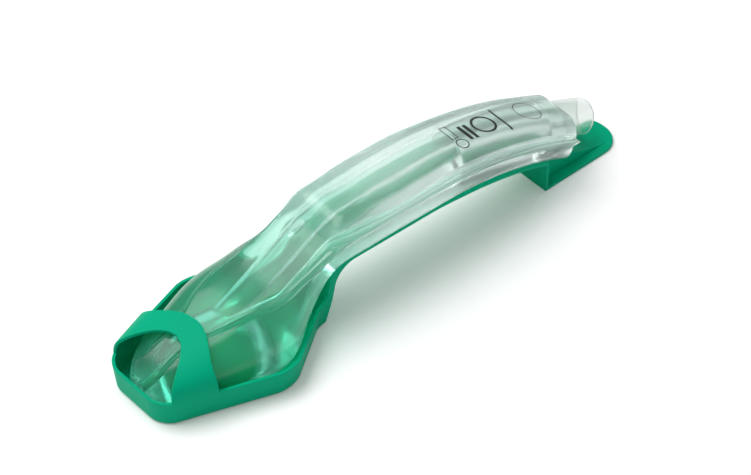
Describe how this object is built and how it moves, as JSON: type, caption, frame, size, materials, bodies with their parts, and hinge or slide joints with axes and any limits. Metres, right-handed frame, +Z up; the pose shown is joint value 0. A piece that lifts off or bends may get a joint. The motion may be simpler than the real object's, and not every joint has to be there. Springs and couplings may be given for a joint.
{
  "type": "supraglottic airway",
  "caption": "Supraglottic airway: clear soft cuff and curved stem with a rigid conical connector, lying in a green moulded cradle with a strap over the tip.",
  "frame": {"origin": "on the floor, below the middle of the whole part's box", "axes": "+X along the part from the cuff's tip to the connector, +Z up, the cradle standing on its base"},
  "size_m": [0.241, 0.0642, 0.0496],
  "materials": {
    "cradle_plastic": "satin moulded polypropylene",
    "clear_elastomer": "clear, slightly milky soft elastomer with a glossy skin",
    "clear_rigid_plastic": "clear rigid plastic, polished"
  },
  "bodies": {
    "root": {"cradle": "cradle_plastic", "airway_body": "clear_elastomer", "connector": "clear_rigid_plastic"}
  },
  "joints": []
}
